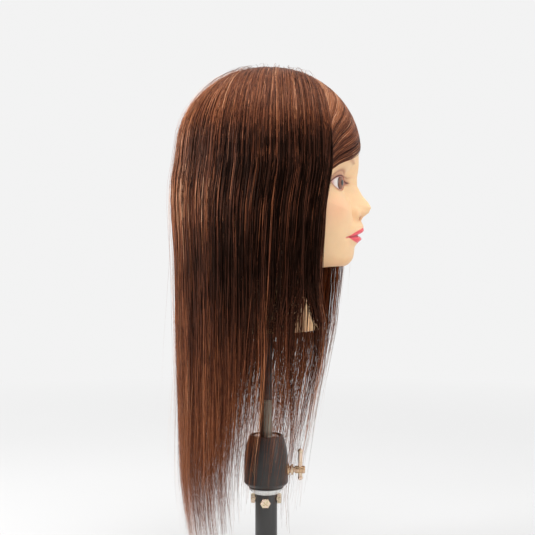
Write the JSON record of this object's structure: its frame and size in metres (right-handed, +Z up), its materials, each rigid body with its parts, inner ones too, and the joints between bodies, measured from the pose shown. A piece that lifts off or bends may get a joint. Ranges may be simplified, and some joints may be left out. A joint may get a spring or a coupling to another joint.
{
  "type": "mannequin training head",
  "caption": "Hairdressing practice head with long straight hair on a ball-jointed swivel holder with a screw clamp and round column tube.",
  "frame": {"origin": "centre of the flat lower end of the column tube, on the holder's vertical axis", "axes": "+Z up along the column, -Y the way the face looks, -X the head's own right side"},
  "size_m": [0.1715, 0.2125, 0.5468],
  "materials": {
    "black_steel": "satin black tube",
    "black_plastic": "satin moulded black",
    "plated_steel": "bright plated",
    "olive_steel": "drawn tube with a warm grey tone",
    "zinc": "yellow-passivated zinc",
    "brass": "turned, slightly coppery",
    "white_nylon": "natural white",
    "foam": "rigid foam, hidden",
    "vinyl_skin": "soft matte vinyl, painted lips and lids",
    "acrylic_eye": "glossy painted eye",
    "hair": "fine straight hair, silky"
  },
  "bodies": {
    "column": {"column_tube": "black_steel", "column_end_plug": "black_plastic", "swivel_core": "plated_steel", "bolt_right": "zinc", "bolt_left": "zinc", "bolt_front": "zinc", "bolt_back": "zinc", "thrust_ring": "white_nylon", "retaining_ring": "plated_steel"},
    "barrel": {"barrel": "black_plastic", "base_cap": "black_plastic", "ball_cup": "white_nylon", "thread_bush": "brass", "swivel_washer": "brass"},
    "clamp_pad": {"pressure_pad": "brass"},
    "clamp_screw": {"clamp_screw": "brass", "screw_washer": "zinc"},
    "tommy_bar": {"tommy_bar": "zinc", "bar_end_upper": "zinc", "bar_end_lower": "zinc"},
    "stem": {"ball": "plated_steel", "stem_tube": "olive_steel", "stem_spindle": "black_plastic"},
    "head": {"neck_socket": "white_nylon", "neck_base_plate": "white_nylon", "foam_core": "foam", "head_shell": "vinyl_skin", "eye_insert_right": "acrylic_eye", "eye_insert_left": "acrylic_eye", "hair_crown": "hair", "hair_fringe": "hair", "hair_right": "hair", "hair_left": "hair", "hair_back": "hair"}
  },
  "joints": [
    {"name": "barrel_swivel", "type": "hinge", "parent": "column", "child": "barrel", "pos_m": [0, 0, 0.092], "axis": [0, 0, 1], "continuous": true},
    {"name": "ball_tilt", "type": "hinge", "parent": "barrel", "child": "stem", "pos_m": [0, 0, 0.1363], "axis": [1, 0, 0], "range_deg": [-20, 25]},
    {"name": "head_turn", "type": "hinge", "parent": "stem", "child": "head", "pos_m": [0, 0, 0.33], "axis": [0, 0, 1], "continuous": true},
    {"name": "clamp_travel", "type": "slide", "parent": "barrel", "child": "clamp_pad", "axis": [0, -1, 0], "range_m": [0, 0.0025]},
    {"name": "clamp_turn", "type": "hinge", "parent": "clamp_pad", "child": "clamp_screw", "pos_m": [0, -0.03, 0.112], "axis": [0, -1, 0], "range_deg": [0, 720]},
    {"name": "bar_slide", "type": "slide", "parent": "clamp_screw", "child": "tommy_bar", "axis": [0, 0, 1], "range_m": [-0.0148, 0.0032]}
  ],
  "couplings": [
    {"joint": "clamp_turn", "follows": "clamp_travel", "rad_per_m": 5026.5}
  ]
}
